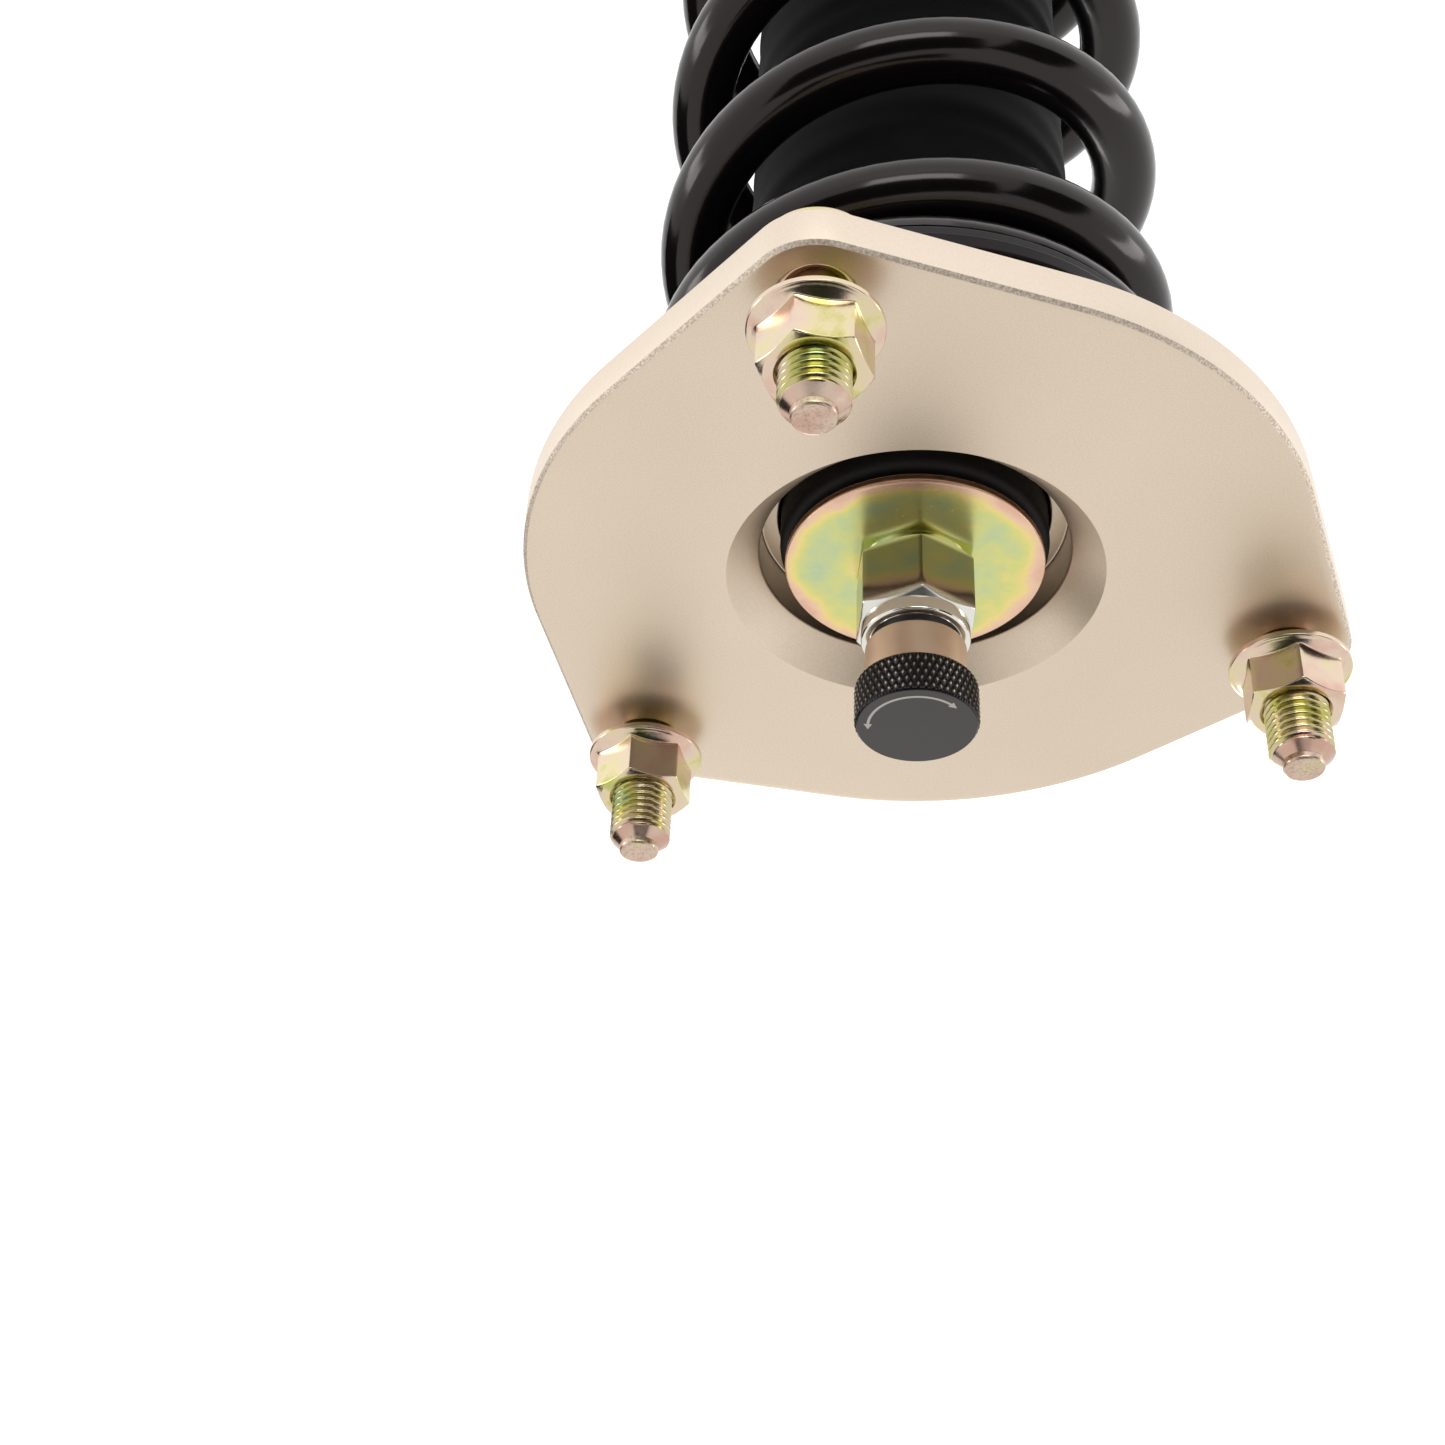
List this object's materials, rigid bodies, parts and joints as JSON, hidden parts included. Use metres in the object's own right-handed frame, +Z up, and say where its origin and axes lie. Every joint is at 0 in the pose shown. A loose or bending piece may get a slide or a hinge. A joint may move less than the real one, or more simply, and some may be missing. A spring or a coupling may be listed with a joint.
{
  "type": "coilover",
  "caption": "Adjustable coil-over damper: stud-mounted top plate, knurled damping knob, coil spring on a threaded body, and a lower bracket with a bushed eye.",
  "frame": {"origin": "centre of the lower eye's bore", "axes": "+Z up the damper from the lower eye to the mount plate, +Y along the lower bolt and towards the first stud's side, +X square to both"},
  "size_m": [0.1252, 0.1312, 0.4991],
  "materials": {
    "champagne_anodised": "satin, bead-blasted and anodised",
    "yellow_zinc": "yellow zinc plate with a faint rainbow",
    "bright_zinc": "bright zinc plate",
    "spring_steel": "plain steel",
    "hard_chrome": "ground and hard-chromed",
    "black_anodised": "satin black anodised",
    "bronze_anodised": "bronze-brown anodised, glossy",
    "gunmetal_anodised": "dark grey anodised",
    "plain_aluminium": "machined",
    "brass": "machined",
    "black_powder_coat": "gloss black powder coat",
    "black_rubber": "moulded",
    "grey_rubber": "moulded, matt",
    "urethane_foam": "microcellular foam",
    "black_plastic": "moulded",
    "nylon": "moulded",
    "bearing_polymer": "filled polymer strip",
    "outer_shell_steel": "plain steel"
  },
  "bodies": {
    "top_mount": {"mount_plate": "champagne_anodised", "top_bush_rubber": "black_rubber", "bush_retainer": "bright_zinc", "retainer_clip": "spring_steel", "mount_studs": "yellow_zinc", "stud_nuts": "yellow_zinc"},
    "rod": {"bush_sleeve": "bright_zinc", "lower_washer": "bright_zinc", "rod_washer": "yellow_zinc", "rod_nut": "bright_zinc", "nut_insert": "nylon", "piston_rod": "hard_chrome", "upper_spring_seat": "black_anodised", "spring_top_isolator": "black_plastic", "bump_stop": "urethane_foam", "bump_stop_cup": "black_powder_coat", "dust_boot": "black_plastic", "topout_bumper": "black_rubber", "compression_shims": "spring_steel", "piston": "plain_aluminium", "piston_band": "bearing_polymer", "rebound_shims": "spring_steel", "piston_nut": "spring_steel"},
    "adjuster": {"knob": "black_anodised", "knob_collar": "bronze_anodised", "knob_screw": "spring_steel", "adjuster_pin": "bright_zinc"},
    "needle": {"metering_needle": "brass"},
    "damper": {"damper_tube": "black_anodised", "gland_nut": "black_anodised", "rod_wiper": "black_rubber", "rod_guide": "plain_aluminium", "rod_seal": "black_rubber", "rod_bush": "bearing_polymer", "guide_o_ring": "black_rubber", "tube_end_cap": "plain_aluminium", "end_cap_o_ring": "black_rubber", "gas_valve": "brass"},
    "gas_piston": {"floating_piston": "plain_aluminium", "floating_piston_o_ring": "black_rubber"},
    "spring_carrier": {"spring": "black_powder_coat", "lower_isolator": "black_plastic"},
    "perch": {"spring_perch": "gunmetal_anodised", "perch_lock_ring": "gunmetal_anodised"},
    "lower_mount": {"lower_bracket": "black_anodised", "eye_bush_rubber": "grey_rubber", "eye_bush_shell": "outer_shell_steel"},
    "lock_collar": {"lower_lock_collar": "gunmetal_anodised"},
    "eye_sleeve": {"eye_sleeve": "yellow_zinc"}
  },
  "joints": [
    {"name": "mount_tilt", "type": "hinge", "parent": "top_mount", "child": "rod", "pos_m": [0, 0, 0.4368], "axis": [0, 1, 0], "range_deg": [-3, 3], "stiffness_Nm_per_rad": 60, "deforming": ["top_bush_rubber"]},
    {"name": "adjuster_turn", "type": "hinge", "parent": "rod", "child": "adjuster", "pos_m": [0, 0, 0.47], "axis": [0, 0, 1], "range_deg": [-450, 450]},
    {"name": "needle_lift", "type": "slide", "parent": "rod", "child": "needle", "axis": [0, 0, 1], "range_m": [-0.001, 0.001]},
    {"name": "damper_stroke", "type": "slide", "parent": "rod", "child": "damper", "axis": [0, 0, 1], "range_m": [0, 0.07], "stiffness_N_per_m": 68100, "deforming": ["spring"]},
    {"name": "gas_piston_slide", "type": "slide", "parent": "damper", "child": "gas_piston", "axis": [0, 0, -1], "range_m": [0, 0.0097]},
    {"name": "perch_height", "type": "slide", "parent": "damper", "child": "spring_carrier", "axis": [0, 0, 1], "range_m": [-0.02, 0]},
    {"name": "perch_turn", "type": "hinge", "parent": "spring_carrier", "child": "perch", "pos_m": [0, 0, 0.2065], "axis": [0, 0, 1], "range_deg": [-3600, 0]},
    {"name": "ride_height", "type": "slide", "parent": "damper", "child": "lower_mount", "axis": [0, 0, 1], "range_m": [-0.03, 0.01]},
    {"name": "collar_turn", "type": "hinge", "parent": "lower_mount", "child": "lock_collar", "pos_m": [0, 0, 0.14], "axis": [0, 0, 1], "range_deg": [-5400, 1800]},
    {"name": "eye_turn", "type": "hinge", "parent": "lower_mount", "child": "eye_sleeve", "pos_m": [0, 0, 0], "axis": [0, 1, 0], "range_deg": [-15, 15], "stiffness_Nm_per_rad": 20}
  ],
  "couplings": [
    {"joint": "adjuster_turn", "follows": "needle_lift", "rad_per_m": 7854},
    {"joint": "gas_piston_slide", "follows": "damper_stroke", "ratio": 0.13573},
    {"joint": "perch_turn", "follows": "perch_height", "rad_per_m": 3141.6},
    {"joint": "collar_turn", "follows": "ride_height", "rad_per_m": 3141.6}
  ]
}
